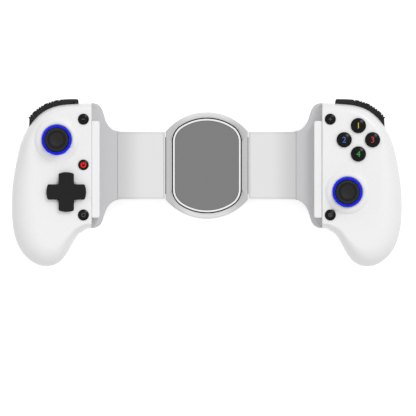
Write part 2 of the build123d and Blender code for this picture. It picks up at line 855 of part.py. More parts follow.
def stick_stem(side):
    """Hub, trunnions, post and dust dome of a stick."""
    spot = stick_spot[side]
    rim = radians(90 - dome_angle)
    outer, inner = dome_radius, dome_radius - dome_wall
    with BuildPart() as stem:
        with Locations((side * spot[0], spot[1], pivot_z)):
            Sphere(hub_ball)
        with Locations(Location((side * spot[0], spot[1], pivot_z), (90, 0, 0))):
            Cylinder(stem_pin, 2 * yoke_half_y)
        add(post(side, spot, post_radius, pivot_z, post_top_z))
        with BuildSketch(Plane((side * spot[0], spot[1], pivot_z), x_dir=(1, 0, 0), z_dir=(0, -1, 0))):
            with BuildLine():
                start = (outer * cos(rim), outer * sin(rim))
                middle = (outer * cos((rim + pi / 2) / 2), outer * sin((rim + pi / 2) / 2))
                ThreePointArc(start, middle, (0, outer))
                Line((0, outer), (0, inner))
                end = (inner * cos(rim), inner * sin(rim))
                middle = (inner * cos((rim + pi / 2) / 2), inner * sin((rim + pi / 2) / 2))
                ThreePointArc((0, inner), middle, end)
                Line(end, start)
            make_face()
        revolve(axis=Axis((side * spot[0], spot[1], 0), (0, 0, 1)))
    return stem.part


def stick_cap(side):
    """Thumb cap with a dished top and a neck that slips over the post."""
    spot = stick_spot[side]
    edge = cap_edge
    floor_z = cap_top_z - cap_hollow
    rim = (cap_dish, cap_top_z - edge / 4)
    depth = rim[1] - floor_z
    sphere = (cap_dish * cap_dish + depth * depth) / (2 * depth)
    lift = sqrt(sphere * sphere - cap_dish * cap_dish / 4)
    with BuildPart() as cap:
        with BuildSketch(Plane((side * spot[0], spot[1], 0), x_dir=(1, 0, 0), z_dir=(0, -1, 0))):
            with BuildLine():
                Polyline(
                    (0, neck_low_z), (neck_radius, neck_low_z), (neck_radius, cap_low_z - edge),
                    (neck_radius + edge, cap_low_z), (cap_radius - edge, cap_low_z),
                    (cap_radius, cap_low_z + edge), (cap_radius, cap_top_z - edge),
                    (cap_radius - edge / 2, cap_top_z), (cap_dish + edge / 2, cap_top_z), rim,
                )
                ThreePointArc(rim, (cap_dish / 2, floor_z + sphere - lift), (0, floor_z))
                Line((0, floor_z), (0, neck_low_z))
            make_face()
        revolve(axis=Axis((side * spot[0], spot[1], 0), (0, 0, 1)))
        bore = post(side, spot, post_radius + play, neck_low_z - wall, post_top_z + small_travel + gap)
        add(bore, mode=Mode.SUBTRACT)
    return cap.part


def light_ring(side):
    """Glowing ring let into the collar of a stick."""
    spot = stick_spot[side]
    with BuildPart() as ring:
        add(post(side, spot, ring_outer, ring_low_z, ring_high_z))
        add(post(side, spot, ring_inner, ring_low_z, ring_high_z), mode=Mode.SUBTRACT)
    return ring.part


def round_button(side, spot, radius, flange, top_z, dome, plunger, foot_z):
    """Button with a domed top, a retaining flange inside the shell and a plunger."""
    flange_z = face_z - wall - slit
    with BuildPart() as button:
        add(post(side, spot, radius, flange_z - button_flange, top_z))
        fillet(button.edges().group_by(Axis.Z)[-1], dome)
        add(post(side, spot, flange, flange_z - button_flange, flange_z))
        add(post(side, spot, plunger, foot_z, flange_z))
    return button.part


def membrane(side):
    """Rubber sheet on the board with a dome under every button."""
    thick_top = board_high_z + membrane_thick
    low_y = small_bottom_y - membrane_dome - gap
    high_y = small_top_y + small_flange - wall
    with BuildPart() as sheet:
        strip_end = small_x + membrane_strip
        add(box_between(side, (board_inner, low_y, board_high_z), (strip_end, high_y, thick_top)))
        if side > 0:
            centre, half = cluster_spot, face_offset + membrane_dome / 2
            domes = [(spot, face_foot_z - face_travel) for spot in face_spots().values()]
        else:
            centre, half = lower_spot, dpad_dome_offset + membrane_dome / 2
            domes = [
                ((centre[0] + across * dpad_dome_offset, centre[1] + up * dpad_dome_offset),
                 dpad_foot_z - face_travel)
                for across, up in face_places.values()
            ]
        add(post(side, centre, half, board_high_z, thick_top))
        low = (small_x, centre[1] - half / 2, board_high_z)
        add(box_between(side, low, (centre[0], centre[1] + half / 2, thick_top)))
        domes += [((small_x, y), small_foot_z - small_travel) for y, radius in small_buttons(side).values()]
        for spot, high_z in domes:
            add(post(side, spot, membrane_dome, board_high_z, high_z - gap))
        if side < 0:
            add(post(side, centre, pillar_radius, board_high_z, dpad_pivot_z - ball_radius / 2))
            with Locations((side * centre[0], centre[1], dpad_pivot_z)):
                Sphere(ball_radius + play, mode=Mode.SUBTRACT)
    return sheet.part


def dpad_pivot():
    """Ball between the pillar and the direction pad."""
    with BuildPart() as ball:
        with Locations((-lower_spot[0], lower_spot[1], dpad_pivot_z)):
            Sphere(ball_radius)
    return ball.part


def dpad():
    """Direction pad: cross, retaining flange, socket and four plungers."""
    plate_top_z = dpad_plate_z + dpad_plate
    rim = dpad_span / 2 - dpad_round
    ball = (rim * rim / dpad_hollow + dpad_hollow) / 2
    with BuildPart() as pad:
        add(cross_plate(-1, lower_spot, dpad_span, dpad_arm, dpad_plate_z, dpad_top_z))
        fillet(pad.edges().group_by(Axis.Z)[-1], dpad_round)
        with Locations((-lower_spot[0], lower_spot[1], dpad_top_z - dpad_hollow + ball)):
            Sphere(ball, mode=Mode.SUBTRACT)
        add(post(-1, lower_spot, dpad_flange, dpad_plate_z, plate_top_z))
        for across, up in face_places.values():
            spot = (lower_spot[0] + across * dpad_dome_offset, lower_spot[1] + up * dpad_dome_offset)
            add(post(-1, spot, membrane_dome / 2, dpad_foot_z, dpad_plate_z))
        with Locations((-lower_spot[0], lower_spot[1], dpad_pivot_z)):
            Sphere(ball_radius + play, mode=Mode.SUBTRACT)
    return pad.part


def bumper(side):
    """Shoulder button: a strip along the upper outer edge, swinging on a pin at its inner end."""
    with BuildPart() as strip:
        add(
            band_block(
                side, bumper_low_z, bumper_high_z, band_proud, bumper_depth, band_start, band_end
            )
        )
        hole = post(side, bumper_pin_spot, trigger_pin_radius + play, rest_z, face_z)
        add(hole, mode=Mode.SUBTRACT)
    return strip.part


def trigger(side):
    """Rear trigger that wraps from the upper edge onto the back, swinging on an inner lug."""
    faces = []
    for step in range(round_steps + 1):
        angle = radians(90 * step / round_steps)
        z = trigger_high_z + (trigger_low_z - trigger_high_z) * sin(angle)
        proud = trigger_rim - trigger_depth
        proud += (band_proud - proud) * cos(angle)
        faces.append(band_face(side, z, proud, trigger_depth))
    start, end = band_start + trigger_inset, band_end - trigger_inset
    window = box_between(side, (start, 0, trigger_low_z), (end, 2 * grip_rise, trigger_high_z))
    lug_low = (trigger_pin_spot[0] - lug_radius, trigger_pin_spot[1], lug_low_z)
    lug_high = (trigger_pin_spot[0] + lug_radius, trigger_pin_spot[1] + trigger_depth, lug_high_z)
    with BuildPart() as body:
        loft(sections=faces)
        add(window, mode=Mode.INTERSECT)
        add(sweep_cut(side, -trigger_skin), mode=Mode.SUBTRACT)
        add(box_between(side, lug_low, lug_high))
        add(post(side, trigger_pin_spot, lug_radius, lug_low_z, lug_high_z))
        hole = post(side, trigger_pin_spot, trigger_pin_radius + play, rest_z, split_z)
        add(hole, mode=Mode.SUBTRACT)
    return body.part


def lever_pins(side):
    """Pins that the bumper and the trigger swing on."""
    radius = trigger_pin_radius
    first = post(side, bumper_pin_spot, radius, bumper_pin_low_z + gap, bumper_pin_high_z - gap)
    second = post(side, trigger_pin_spot, radius, trigger_pin_low_z + gap, trigger_pin_high_z)
    return Compound(children=[first, second])


def trigger_spring(side):
    """Return spring wound round the trigger's pin."""
    low_z = lug_high_z + gap
    with BuildPart() as coil:
        add(post(side, trigger_pin_spot, spring_outer, low_z, trigger_pin_high_z - gap))
        hole = post(side, trigger_pin_spot, trigger_pin_radius + gap, low_z, trigger_pin_high_z)
        add(hole, mode=Mode.SUBTRACT)
    return coil.part


def back_key(side):
    """Key on the back slope, with a retaining flange behind the shell."""
    inner = key_frame + gap
    with BuildPart() as key:
        add(key_block(side, inner + key_flange_thick, -key_proud, 0.0))
        fillet(key.faces().sort_by(key_plane_axis(side))[-1].edges(), key_edge)
        add(key_block(side, inner + key_flange_thick, inner, key_flange))
    return key.part


def key_plane_axis(side):
    """Axis out of the back through a back key."""
    slope = radians(key_slope)
    middle = (side * key_spot[0], key_spot[1], key_surface_z)
    return Axis(middle, (-side * sin(slope), 0, -cos(slope)))


def slide_rail(side):
    """Flat tube that an arm slides on, open at both ends for the racks and springs."""
    low = (rail_start, -rail_half, rail_low_z)
    high = (rail_end, rail_half, rail_high_z)
    inner_half = rail_half - rail_wall
    room_low = (0, -inner_half, rail_low_z + rail_wall)
    room_high = (grip_inner, inner_half, rail_high_z - rail_wall)
    with BuildPart() as rail:
        add(box_between(side, low, high))
        add(box_between(side, room_low, room_high), mode=Mode.SUBTRACT)
    return rail.part


def rack(side):
    """Toothed bar fixed in an arm, reaching past the pinion."""
    foot = arm_room_end + rack_foot - gap
    root = pinion_radius + tooth_root
    pitch = pi * module_size
    half_thick = (pitch / 2 - backlash) / 2
    tip_half = half_thick - rack_tip * tan(pressure_angle)
    root_half = half_thick + tooth_root * tan(pressure_angle)
    low = (-rack_reach, root, gear_low_z)
    count = int((rack_reach - pitch) / pitch)
    points = []
    for number in range(-count, pinion_teeth + 1):
        centre = (number + 0.5) * pitch
        points += [
            (centre - root_half, root), (centre - tip_half, pinion_radius - rack_tip),
            (centre + tip_half, pinion_radius - rack_tip), (centre + root_half, root),
        ]
    with BuildPart() as bar:
        with BuildSketch(Plane.XY.offset(gear_low_z)):
            with BuildLine():
                ring = [(-rack_reach, root)] + points + [
                    (foot, root), (foot, root + rack_back), (-rack_reach, root + rack_back),
                ]
                turned_ring = [(side * x, -side * y) for x, y in ring]
                Polyline(*turned_ring, turned_ring[0])
            make_face()
        extrude(amount=gear_thick)
    return bar.part


def tooth_angle(radius):
    """Half the angle of a pinion tooth at a radius."""
    base = pinion_radius * cos(pressure_angle)
    half = (pi * module_size / 2 - backlash) / 2 / pinion_radius
    slope = sqrt(max(radius * radius - base * base, 0)) / base
    roll = slope - atan2(slope, 1)
    return half + tan(pressure_angle) - pressure_angle - roll


def pinion():
    """Small gear between the two racks."""
    base = pinion_radius * cos(pressure_angle)
    tip = pinion_radius + gear_tip
    root = pinion_radius - tooth_root
    points = []
    for number in range(pinion_teeth):
        centre = 2 * pi * number / pinion_teeth
        flank = [base + (tip - base) * step / tooth_steps for step in range(tooth_steps + 1)]
        left = [(root, -tooth_angle(base))] + [(r, -tooth_angle(r)) for r in flank]
        right = [(r, -angle) for r, angle in reversed(left)]
        points += [(r * cos(centre + a), r * sin(centre + a)) for r, a in left + right]
    with BuildPart() as gear:
        with BuildSketch(Plane.XY.offset(gear_low_z)):
            with BuildLine():
                Polyline(*points, points[0])
            make_face()
        extrude(amount=gear_thick)
        add(post(1, (0, 0), pinion_pin_radius + play, rest_z, face_z), mode=Mode.SUBTRACT)
    return gear.part


def return_springs(side):
    """Pair of springs that pull a grip back to the housing."""
    coils = []
    middle_z = (gear_low_z + gear_high_z) / 2
    length = arm_room_end - gap - rail_start
    for y in (-spring_y, spring_y):
        with BuildPart() as coil:
            with Locations(Location((side * (rail_start + length / 2), y, middle_z), (0, 90, 0))):
                Cylinder(return_spring_radius, length)
                Cylinder(return_spring_radius / 2, length, mode=Mode.SUBTRACT)
        coils.append(coil.part)
    return Compound(children=coils)


def hub_plate(low_z, high_z):
    """Round plate cut off straight on both sides."""
    with BuildPart() as plate:
        with BuildSketch(Plane.XY.offset(low_z)):
            Circle(hub_radius)
            Rectangle(2 * hub_half, 2 * hub_radius, mode=Mode.INTERSECT)
        extrude(amount=high_z - low_z)
    return plate.part


def pad_plate(shrink, low_z, high_z):
    """Rounded pad outline: a circle cut off on both sides with soft corners."""
    with BuildPart() as plate:
        with BuildSketch(Plane.XY.offset(low_z)) as shape:
            Circle(pad_radius - shrink)
            Rectangle(2 * (pad_half - shrink), 2 * pad_radius, mode=Mode.INTERSECT)
            fillet(shape.vertices(), pad_corner - shrink)
        extrude(amount=high_z - low_z)
    return plate.part


def hub_room():
    """Space in the middle housing for the tubes, the racks and the pinion."""
    high = (hub_half + overrun, arm_room_half, rail_high_z + gap)
    return box_between(1, (-hub_half - overrun, -arm_room_half, rail_low_z - gap), high)


def hub_back_cover():
    """Back half of the middle housing."""
    with BuildPart() as cover:
        add(hub_plate(hub_back_z, hub_split_z))
        fillet(cover.edges().group_by(Axis.Z)[0], hub_edge)
        add(hub_room(), mode=Mode.SUBTRACT)
        hole = post(1, (0, 0), pinion_pin_radius + play, hub_back_z + hub_edge, face_z)
        add(hole, mode=Mode.SUBTRACT)
        for x, y in hub_screw_spots:
            head_z = hub_back_z + screw_head_thick + gap
            add(post(1, (x, y), screw_head_radius + gap, hub_back_z, head_z), mode=Mode.SUBTRACT)
            add(post(1, (x, y), screw_radius + play, head_z, face_z), mode=Mode.SUBTRACT)
    return cover.part


def hub_front_cover():
    """Front half of the middle housing, with the pocket of the pad and its ring."""
    with BuildPart() as cover:
        add(hub_plate(hub_split_z, hub_front_z))
        fillet(cover.edges().group_by(Axis.Z)[-1], hub_edge)
        add(hub_room(), mode=Mode.SUBTRACT)
        add(pad_plate(0, pad_floor_z, face_z), mode=Mode.SUBTRACT)
        top_z = pinion_pin_top_z + gap
        add(post(1, (0, 0), pinion_pin_radius + play, hub_split_z, top_z), mode=Mode.SUBTRACT)
        for spot in hub_screw_spots:
            hole = post(1, spot, screw_radius + play, hub_split_z, hub_screw_top_z + gap)
            add(hole, mode=Mode.SUBTRACT)
    return cover.part


def pad_ring():
    """Raised ring round the phone pad."""
    with BuildPart() as ring:
        add(pad_plate(pad_groove, pad_floor_z, pad_ring_z))
        fillet(ring.edges().group_by(Axis.Z)[-1], pad_ring_edge)
        add(pad_plate(pad_groove + pad_ring_width, pad_floor_z, pad_ring_z), mode=Mode.SUBTRACT)
    return ring.part


for side in (-1, 1):
    name = side_name[side]
    spot = stick_spot[side]
    save(front_shell(side), f"{name}_front_shell")
    save(back_shell(side), f"{name}_back_shell")
    save(arm_cover(side), f"{name}_arm_cover")
    save(clamp_pad(side), f"{name}_clamp_pad")
    save(shell_screws(side), f"{name}_shell_screws")
    save(circuit_board(side), f"{name}_circuit_board")
    save(membrane(side), f"{name}_button_membrane")
    save(stick_housing(side), f"{name}_stick_housing")
    save(stick_yoke(side), f"{name}_stick_yoke")
    save(stick_stem(side), f"{name}_stick_stem")
    save(stick_cap(side), f"{name}_stick_cap")
    save(light_ring(side), f"{name}_light_ring")
    save(bumper(side), f"{name}_bumper")
    save(trigger(side), f"{name}_trigger")
    save(lever_pins(side), f"{name}_lever_pins")
    save(trigger_spring(side), f"{name}_trigger_spring")
    save(back_key(side), f"{name}_back_key")
    save(slide_rail(side), f"{name}_slide_rail")
    save(rack(side), f"{name}_rack")
    save(return_springs(side), f"{name}_return_springs")
    for place, (y, radius) in small_buttons(side).items():
        button = round_button(
            side, (small_x, y), radius, small_flange, small_top_z, small_dome, small_plunger,
            small_foot_z,
        )
        save(button, f"{name}_{place}_button")

for place, spot in face_spots().items():
    button = round_button(
        1, spot, face_radius, face_flange, face_top_z, face_dome, face_plunger, face_foot_z
    )
    save(button, f"face_button_{place}")

save(dpad(), "direction_pad")
save(dpad_pivot(), "direction_pad_pivot")
save(charging_port(), "charging_port")
save(
    box_between(1, (battery_low_x, battery_low_y, battery_low_z),
                (battery_high_x, battery_high_y, battery_high_z)),
    "battery",
)
save(hub_back_cover(), "middle_back_cover")
save(hub_front_cover(), "middle_front_cover")
save(pad_ring(), "pad_ring")
save(pad_plate(pad_groove + pad_ring_width + gap, pad_floor_z, 0), "phone_pad")
hub_head_z = hub_back_z + screw_head_thick + gap
hub_screws = [screw(1, spot, hub_head_z, hub_screw_top_z) for spot in hub_screw_spots]
save(Compound(children=hub_screws), "middle_screws")
save(pinion(), "pinion")
pin_low_z = hub_back_z + hub_edge + gap
save(post(1, (0, 0), pinion_pin_radius, pin_low_z, pinion_pin_top_z), "pinion_pin")
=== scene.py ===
import math

import bmesh
import bpy
from mathutils import Matrix, Vector
from mathutils.bvhtree import BVHTree


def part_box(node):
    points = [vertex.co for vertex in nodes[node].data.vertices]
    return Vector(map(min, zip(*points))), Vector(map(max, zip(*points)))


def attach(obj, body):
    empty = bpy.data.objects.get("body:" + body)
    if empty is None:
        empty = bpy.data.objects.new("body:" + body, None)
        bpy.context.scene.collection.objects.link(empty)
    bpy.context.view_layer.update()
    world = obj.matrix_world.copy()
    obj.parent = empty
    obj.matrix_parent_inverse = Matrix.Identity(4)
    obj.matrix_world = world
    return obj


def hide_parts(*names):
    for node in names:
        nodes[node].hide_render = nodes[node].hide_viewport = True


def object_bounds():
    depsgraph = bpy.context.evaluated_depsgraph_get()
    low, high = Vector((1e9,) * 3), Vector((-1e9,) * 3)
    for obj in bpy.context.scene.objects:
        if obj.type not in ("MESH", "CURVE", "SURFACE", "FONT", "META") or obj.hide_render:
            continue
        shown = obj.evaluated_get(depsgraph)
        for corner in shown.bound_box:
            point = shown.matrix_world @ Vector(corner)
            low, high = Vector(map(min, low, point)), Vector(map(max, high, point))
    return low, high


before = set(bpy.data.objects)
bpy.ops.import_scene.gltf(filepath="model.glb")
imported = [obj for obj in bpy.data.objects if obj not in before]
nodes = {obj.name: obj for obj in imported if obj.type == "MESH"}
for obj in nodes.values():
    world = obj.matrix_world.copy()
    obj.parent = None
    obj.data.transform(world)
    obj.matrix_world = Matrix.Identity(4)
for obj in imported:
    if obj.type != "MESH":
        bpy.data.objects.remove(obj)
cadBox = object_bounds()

# A phone game controller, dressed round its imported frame. Metres, +X to the right grip,
# +Y to the triggers, +Z out of the front.
mm = 0.001
# distances under which points join or a cut meets them, and how pieces shade: faces above a size
# in square metres stay flat, and the rest turn towards their larger neighbours
meshing = {
    "merge": 0.002 * mm, "cut": 0.001 * mm, "flatFrom": 30 * mm * mm, "largeWeight": 90,
    "far": 60 * mm, "sharp": 34,
}
sideSign = {"left": -1, "right": 1}


def corners(node):
    low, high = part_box(node)
    return Vector(low), Vector(high)


# Materials
def hexColour(code):
    # sRGB hex to the linear colour that shaders use
    parts = [int(code[i:i + 2], 16) / 255 for i in (1, 3, 5)]
    linear = [c / 12.92 if c <= 0.04045 else ((c + 0.055) / 1.055) ** 2.4 for c in parts]
    return (*linear, 1.0)


def addNode(tree, kind, values=None, links=None, **settings):
    node = tree.nodes.new(kind)
    for name, value in settings.items():
        setattr(node, name, value)
    for socket, value in (values or {}).items():
        node.inputs[socket].default_value = value
    for socket, source in (links or {}).items():
        tree.links.new(source, node.inputs[socket])
    return node


def newMaterial(name):
    material = bpy.data.materials.new(name)
    material.use_nodes = True
    material.node_tree.nodes.clear()
    return material, material.node_tree


def plainFinish(name, colour, roughness, grain=None, fade=None, **extra):
    # one colour; grain is (size in mm, depth in mm, share of roughness it varies), and fade
    # turns it into a second colour between two distances in mm from the middle plane, which
    # the finishes here use to paint shade
    material, tree = newMaterial(name)
    values = {"Base Color": hexColour(colour), "Roughness": roughness}
    values.update(extra)
    shader = addNode(tree, "ShaderNodeBsdfPrincipled", values)
    if fade:
        second, near, far = fade
        spot = addNode(tree, "ShaderNodeTexCoord")
        split = addNode(tree, "ShaderNodeSeparateXYZ", links={0: spot.outputs["Object"]})
        out = addNode(
            tree, "ShaderNodeMath", links={0: split.outputs["X"]}, operation="ABSOLUTE"
        )
        share = addNode(
            tree, "ShaderNodeMapRange", {"From Min": near * mm, "From Max": far * mm},
            {"Value": out.outputs[0]}, interpolation_type="SMOOTHSTEP",
        )
        blend = addNode(
            tree, "ShaderNodeMix", {6: hexColour(colour), 7: hexColour(second)},
            {0: share.outputs["Result"]}, data_type="RGBA",
        )
        tree.links.new(blend.outputs[2], shader.inputs["Base Color"])
    if grain:
        size, depth, vary = grain
        place = addNode(tree, "ShaderNodeTexCoord")
        noise = addNode(
            tree, "ShaderNodeTexNoise", {"Scale": 1 / (size * mm), "Detail": 2.0},
            {"Vector": place.outputs["Object"]},
        )
        bump = addNode(
            tree, "ShaderNodeBump", {"Strength": 1.0, "Distance": depth * mm},
            {"Height": noise.outputs["Fac"]},
        )
        tree.links.new(bump.outputs["Normal"], shader.inputs["Normal"])
        spread = addNode(
            tree, "ShaderNodeMapRange", {"To Min": roughness - vary, "To Max": roughness + vary},
            {"Value": noise.outputs["Fac"]},
        )
        tree.links.new(spread.outputs["Result"], shader.inputs["Roughness"])
    addNode(tree, "ShaderNodeOutputMaterial", links={"Surface": shader.outputs[0]})
    return material


# Grains are drawn a few times coarser than the real mould textures, so that they show
finishes = {
    # polished ABS straight from the mould: a soft gloss over an even white
    "mouldedAbsWhite": plainFinish(
        "mouldedAbsWhite", "#F5F5F6", 0.28, grain=(0.9, 0.001, 0.03), **{"Specular IOR Level": 0.35}
    ),
    # the same ABS in light grey, satin from a finer mould texture, with painted shade that darkens
    # it towards the grips
    "satinGreyPaintedShade": plainFinish(
        "satinGreyPaintedShade", "#E7E7E8", 0.42, grain=(0.5, 0.004, 0.05), fade=("#CECECF", 42, 59)
    ),
    # satin ABS of the round housing, with painted shade that darkens its sides beside the pad
    "satinHousingPaintedShade": plainFinish(
        "satinHousingPaintedShade", "#E3E3E4", 0.42, grain=(0.5, 0.004, 0.05), fade=("#C4C4C5", 10, 24)
    ),
    # the sunken wing is the white moulding of the front shell, painted a darker satin grey as the
    # shade it lies in beside the grip
    "satinWingPaintedShade": plainFinish("satinWingPaintedShade", "#C9C9CB", 0.42, grain=(0.5, 0.004, 0.05)),
    # piano black ABS: nearly no colour of its own, all reflections
    "polishedAbsBlack": plainFinish(
        "polishedAbsBlack", "#050506", 0.2, grain=(2.5, 0.002, 0.03), **{"Specular IOR Level": 0.17}
    ),
    # charcoal ABS with a fine spark texture, so its highlights are broad and soft
    "sparkedAbsBlack": plainFinish(
        "sparkedAbsBlack", "#161617", 0.46, grain=(0.35, 0.012, 0.08), **{"Specular IOR Level": 0.3}
    ),
    # charcoal ABS of the direction pad, a finer satin than the levers
    "satinAbsBlack": plainFinish(
        "satinAbsBlack", "#0B0B0C", 0.38, grain=(0.4, 0.006, 0.06), **{"Specular IOR Level": 0.24}
    ),
    # moulded rubber of the thumb caps, matt with a fine tooth
    "mouldedRubberBlack": plainFinish(
        "mouldedRubberBlack", "#171718", 0.56, grain=(0.3, 0.012, 0.06),
        **{"Specular IOR Level": 0.3}
    ),
    # painted shade: near-black, dull, put on grooves and steep walls of black ABS and rubber where
    # hardly any light gets
    "paintedShadeBlack": plainFinish("paintedShadeBlack", "#050505", 0.8, grain=(0.5, 0.004, 0.05)),
    # silicone sheet under the phone: flat mid grey without gloss
    "mouldedSiliconeGrey": plainFinish(
        "mouldedSiliconeGrey", "#7F7F80", 0.75, grain=(0.4, 0.006, 0.04),
        **{"Specular IOR Level": 0.3}
    ),
    # black oxide on pan-head screws: dark, with worn grey glints
    "blackenedSteel": plainFinish(
        "blackenedSteel", "#2A2A2C", 0.42, grain=(0.3, 0.003, 0.12), Metallic=0.85
    ),
    # bright turned pins and spring wire: clear metal glints
    "turnedSteel": plainFinish(
        "turnedSteel", "#B9BABC", 0.3, grain=(0.2, 0.001, 0.1), Metallic=1.0
    ),
    # glass-filled nylon: grey with a dry, slightly mottled skin
    "glassNylonGrey": plainFinish("glassNylonGrey", "#8E8F90", 0.55, grain=(0.6, 0.006, 0.08)),
    # green solder resist over glass fibre: the weave just shows in its gloss
    "solderMask": plainFinish("solderMask", "#155C33", 0.35, grain=(0.8, 0.003, 0.08)),
    # crimped aluminium pouch of the battery: pale metal with soft dents
    "crimpedAluminium": plainFinish(
        "crimpedAluminium", "#C9CACC", 0.35, grain=(3.0, 0.03, 0.1), Metallic=0.9
    ),
    # pad-printed inks under the gloss of the buttons: flat, even colours
    "inkYellow": plainFinish("inkYellow", "#D8C21E", 0.35, grain=(0.3, 0.002, 0.05)),
    "inkBlue": plainFinish("inkBlue", "#2C6FC4", 0.35, grain=(0.3, 0.002, 0.05)),
    "inkRed": plainFinish("inkRed", "#C8202C", 0.35, grain=(0.3, 0.002, 0.05)),
    "inkGreen": plainFinish("inkGreen", "#1FA03A", 0.35, grain=(0.3, 0.002, 0.05)),
    "inkGrey": plainFinish("inkGrey", "#4A4A4C", 0.4, grain=(0.3, 0.002, 0.05)),
}


def glowFinish(name, colour, glow, strength):
    # plastic that glows in its own colour: on the light ring a lit diffuser with light coming
    # through it, on the red mark a painted glow
    material, tree = newMaterial(name)
    shader = addNode(
        tree, "ShaderNodeBsdfPrincipled",
        {
            "Base Color": hexColour(colour), "Roughness": 0.35, "Specular IOR Level": 0.12,
            "Emission Color": hexColour(glow), "Emission Strength": strength,
        },
    )
    addNode(tree, "ShaderNodeOutputMaterial", links={"Surface": shader.outputs[0]})
    return material


finishes["litDiffuserBlue"] = glowFinish("litDiffuserBlue", "#1420C8", "#1626F0", 0.42)
# painted light: the printed red mark is given a glow of its own
finishes["paintedGlowRed"] = glowFinish("paintedGlowRed", "#D01418", "#FF2018", 0.5)


# Pieces
def newPiece(name, shape, materials, body, replaced=()):
    # shape is a bmesh already in place; it becomes an object that rides on a body
    mesh = bpy.data.meshes.new(name)
    shape.to_mesh(mesh)
    shape.free()
    piece = bpy.data.objects.new(name, mesh)
    bpy.context.scene.collection.objects.link(piece)
    for material in materials:
        mesh.materials.append(finishes[material])
    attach(piece, body)
    if replaced:
        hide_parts(*replaced)
    return piece


def smoothEdges(piece, sharpAngle):
    # round faces shade smoothly, and plane walls, which alone have large faces, stay flat
    piece.data.shade_smooth()
    piece.data.set_sharp_from_angle(angle=math.radians(sharpAngle))
    for polygon in piece.data.polygons:
        if polygon.area > meshing["flatFrom"]:
            polygon.use_smooth = False
    weighted = piece.modifiers.new("flatFaces", "WEIGHTED_NORMAL")
    weighted.keep_sharp = True
    weighted.weight = meshing["largeWeight"]


def copyOf(node):
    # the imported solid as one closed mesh
    shape = bmesh.new()
    shape.from_mesh(nodes[node].data)
    bmesh.ops.remove_doubles(shape, verts=shape.verts, dist=meshing["merge"])
    for face in shape.faces:
        face.material_index = 0
    return shape


def dress(node, pieceName, material, body, sharpAngle=meshing["sharp"]):
    piece = newPiece(pieceName, copyOf(node), [material], body, (node,))
    smoothEdges(piece, sharpAngle)
    return piece


def paint(node, material):
    # a CAD node that is shown as it is
    solid = nodes[node]
    if not solid.material_slots:
        solid.data.materials.append(finishes[material])
    for holder in solid.material_slots:
        holder.material = finishes[material]


def spinProfile(shape, profile, steps):
    # turns a profile of (radius, height) in metres round an upright axis
    ring = [shape.verts.new((radius, 0, height)) for radius, height in profile]
    edges = [shape.edges.new(pair) for pair in zip(ring, ring[1:])]
    bmesh.ops.spin(
        shape, geom=ring + edges, cent=(0, 0, 0), axis=(0, 0, 1), angle=2 * math.pi,
        steps=steps, use_merge=True, use_duplicate=False,
    )


def finishSolid(shape):
    bmesh.ops.remove_doubles(shape, verts=shape.verts, dist=meshing["merge"])
    bmesh.ops.recalc_face_normals(shape, faces=shape.faces)


def sliceShape(shape, place, across):
    bmesh.ops.bisect_plane(
        shape, geom=shape.verts[:] + shape.edges[:] + shape.faces[:], dist=meshing["cut"],
        plane_co=place, plane_no=across,
    )


def outsideOf(tree, inner, direction):
    # where a line from inside a solid leaves its outermost surface
    return tree.ray_cast(inner + direction * meshing["far"], -direction)[0]


# Shells
shell = {
    "wingLine": 76.75 * mm, "armLine": 59.48 * mm, "backFacing": -0.5,
    "coverSharp": 30,
}


def frontShell(side):
    node = f"{side}_front_shell"
    shape = copyOf(node)
    # the sunken wing is everything inwards of the grip's straight side; it takes the painted shade
    for face in shape.faces:
        if sideSign[side] * face.calc_center_median().x < shell["wingLine"]:
            face.material_index = 1
    piece = newPiece(
        f"{side}FrontShell", shape, ["mouldedAbsWhite", "satinWingPaintedShade"], f"{side}_grip",
        (node,),
    )
    smoothEdges(piece, meshing["sharp"])


def backShell(side):
    node = f"{side}_back_shell"
    shape = copyOf(node)
    # the arm is light grey like its covers but white on its back; the grey carries painted shade
    # towards the grip, and on the lip along the arm's edge it stands in for the shade there
    for face in shape.faces:
        centre = face.calc_center_median()
        if sideSign[side] * centre.x < shell["armLine"] and face.normal.z > shell["backFacing"]:
            face.material_index = 1
    piece = newPiece(
        f"{side}BackShell", shape, ["mouldedAbsWhite", "satinGreyPaintedShade"], f"{side}_grip",
        (node,),
    )
    smoothEdges(piece, meshing["sharp"])


for side in sideSign:
    frontShell(side)
    backShell(side)
    # the arm covers carry the grey's painted shade towards the grips
    dress(
        f"{side}_arm_cover", f"{side}ArmCover", "satinGreyPaintedShade", f"{side}_grip",
        shell["coverSharp"],
    )
    dress(
        f"{side}_clamp_pad", f"{side}ClampBar", "mouldedAbsWhite", f"{side}_grip"
    )
    dress(
        f"{side}_light_ring", f"{side}LightRing", "litDiffuserBlue", f"{side}_grip"
    )
    dress(
        f"{side}_shell_screws", f"{side}ShellScrews", "blackenedSteel", f"{side}_grip",
    )
print("shells")

# Middle housing
padPocket = {
    "top": -0.55 * mm, "floor": -2.2 * mm, "half": 23.9 * mm, "radius": 33.2 * mm,
    "outward": 0.5,
}


def middleFrontCover():
    # painted shade: the walls and floor of the deep groove round the pad are painted black
    shape = copyOf("middle_front_cover")
    for face in shape.faces:
        centre = face.calc_center_median()
        inside = abs(centre.x) < padPocket["half"] and centre.xy.length < padPocket["radius"]
        if inside and padPocket["floor"] < centre.z < padPocket["top"]:
            face.material_index = 1
    piece = newPiece(
        "middleFrontCover", shape, ["satinHousingPaintedShade", "paintedShadeBlack"], "middle",
        ("middle_front_cover",),
    )
    smoothEdges(piece, meshing["sharp"])


def padRing():
    # painted shade: its outer wall, in the shade of the groove, is painted near-black
    shape = copyOf("pad_ring")
    for face in shape.faces:
        outward = face.calc_center_median().xy.normalized()
        if face.normal.xy.dot(outward) > padPocket["outward"]:
            face.material_index = 1
    piece = newPiece(
        "padRing", shape, ["mouldedAbsWhite", "paintedShadeBlack"], "middle",
        ("pad_ring",),
    )
    smoothEdges(piece, meshing["sharp"])


